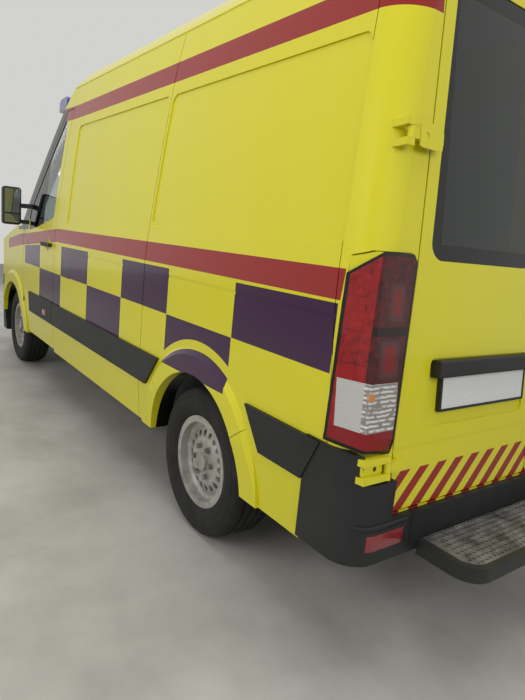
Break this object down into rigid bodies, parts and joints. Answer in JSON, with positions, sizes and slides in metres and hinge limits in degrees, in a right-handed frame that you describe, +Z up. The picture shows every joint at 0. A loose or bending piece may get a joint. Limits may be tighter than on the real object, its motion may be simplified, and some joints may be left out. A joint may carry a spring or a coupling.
{
  "type": "van ambulance",
  "caption": "High-roof panel van ambulance with hinged cab and rear doors, an opening bonnet, steered front wheels and a rear entry step.",
  "frame": {"origin": "on the ground below the middle of the vehicle's length and width", "axes": "+X forward, +Y to the left, +Z up"},
  "size_m": [5.985, 2.426, 2.645],
  "materials": {
    "yellow_paint": "gloss",
    "tinted_glass": "tinted",
    "clear_glass": "clear",
    "black_plastic": "grained",
    "lamp_clear": "clear",
    "lamp_red": "clear red",
    "beacon_blue": "clear blue",
    "grey_floor": "satin",
    "white_lining": "satin",
    "dark_trim": "matte",
    "seat_fabric": "woven",
    "silver_steel": "silver",
    "white_plate": "retroreflective",
    "tyre_rubber": "matte",
    "black_steel": "satin black",
    "engine_metal": "cast",
    "radiator_alloy": "finned"
  },
  "bodies": {
    "body": {"bulkhead": "white_lining", "cab_frame": "yellow_paint", "chassis_rails": "black_steel", "cowl": "black_plastic", "dashboard": "dark_trim", "driveline": "black_steel", "engine_block": "engine_metal", "floor": "grey_floor", "front_bumper": "black_plastic", "front_suspension": "black_steel", "grille": "black_plastic", "headlamps": "lamp_clear", "light_bar": "beacon_blue", "radiator": "radiator_alloy", "rear_axle": "black_steel", "rear_bumper": "black_plastic", "rear_frame": "yellow_paint", "rear_step": "black_steel", "roof": "yellow_paint", "seats": "seat_fabric", "side_left": "yellow_paint", "side_mouldings": "black_plastic", "side_right": "yellow_paint", "sliding_door": "yellow_paint", "tail_lamps": "lamp_red", "underbody": "black_steel", "windscreen": "clear_glass", "wings": "yellow_paint"},
    "bonnet": {"bonnet": "yellow_paint"},
    "cab_door_left": {"cab_door_left": "yellow_paint", "cab_glass_left": "clear_glass", "door_trim_left": "black_plastic"},
    "cab_door_right": {"cab_door_right": "yellow_paint", "cab_glass_right": "clear_glass", "door_trim_right": "black_plastic"},
    "rear_door_left": {"rear_door_left": "yellow_paint", "rear_glass_left": "tinted_glass", "plate_bar": "black_plastic", "plate": "white_plate"},
    "rear_door_right": {"rear_door_right": "yellow_paint", "rear_glass_right": "tinted_glass", "rear_handle": "black_plastic"},
    "knuckle_left": {"knuckle_left": "black_steel"},
    "knuckle_right": {"knuckle_right": "black_steel"},
    "wheel_front_left": {"rim_front_left": "silver_steel", "tyre_front_left": "tyre_rubber"},
    "wheel_front_right": {"rim_front_right": "silver_steel", "tyre_front_right": "tyre_rubber"},
    "wheel_rear_left": {"rim_rear_left": "silver_steel", "tyre_rear_left": "tyre_rubber"},
    "wheel_rear_right": {"rim_rear_right": "silver_steel", "tyre_rear_right": "tyre_rubber"}
  },
  "joints": [
    {"name": "steer_left", "type": "hinge", "parent": "body", "child": "knuckle_left", "pos_m": [1.9775, 0.77, 0.232], "axis": [0, -0.1747, 0.9846], "range_deg": [-35, 35]},
    {"name": "steer_right", "type": "hinge", "parent": "body", "child": "knuckle_right", "pos_m": [1.9775, -0.77, 0.232], "axis": [0, 0.1747, 0.9846], "range_deg": [-35, 35]},
    {"name": "spin_front_left", "type": "hinge", "parent": "knuckle_left", "child": "wheel_front_left", "pos_m": [1.9775, 0.856, 0.356], "axis": [0, 1, 0], "continuous": true},
    {"name": "spin_front_right", "type": "hinge", "parent": "knuckle_right", "child": "wheel_front_right", "pos_m": [1.9775, -0.856, 0.356], "axis": [0, 1, 0], "continuous": true},
    {"name": "spin_rear_left", "type": "hinge", "parent": "body", "child": "wheel_rear_left", "pos_m": [-1.6925, 0.859, 0.356], "axis": [0, 1, 0], "continuous": true},
    {"name": "spin_rear_right", "type": "hinge", "parent": "body", "child": "wheel_rear_right", "pos_m": [-1.6925, -0.859, 0.356], "axis": [0, 1, 0], "continuous": true},
    {"name": "cab_door_left_hinge", "type": "hinge", "parent": "body", "child": "cab_door_left", "pos_m": [1.5475, 1.001, 1], "axis": [0, 0, -1], "range_deg": [0, 65]},
    {"name": "cab_door_right_hinge", "type": "hinge", "parent": "body", "child": "cab_door_right", "pos_m": [1.5475, -1.001, 1], "axis": [0, 0, 1], "range_deg": [0, 65]},
    {"name": "rear_door_left_hinge", "type": "hinge", "parent": "body", "child": "rear_door_left", "pos_m": [-2.69311, 0.885, 1.25199], "axis": [-0.0906, 0, -0.9959], "range_deg": [0, 180]},
    {"name": "rear_door_right_hinge", "type": "hinge", "parent": "body", "child": "rear_door_right", "pos_m": [-2.69311, -0.885, 1.25199], "axis": [0.0906, 0, 0.9959], "range_deg": [0, 180]},
    {"name": "bonnet_hinge", "type": "hinge", "parent": "body", "child": "bonnet", "pos_m": [1.8075, 0, 1.317], "axis": [0, -1, 0], "range_deg": [0, 60]}
  ],
  "couplings": [
    {"joint": "steer_right", "follows": "steer_left", "ratio": 1}
  ]
}
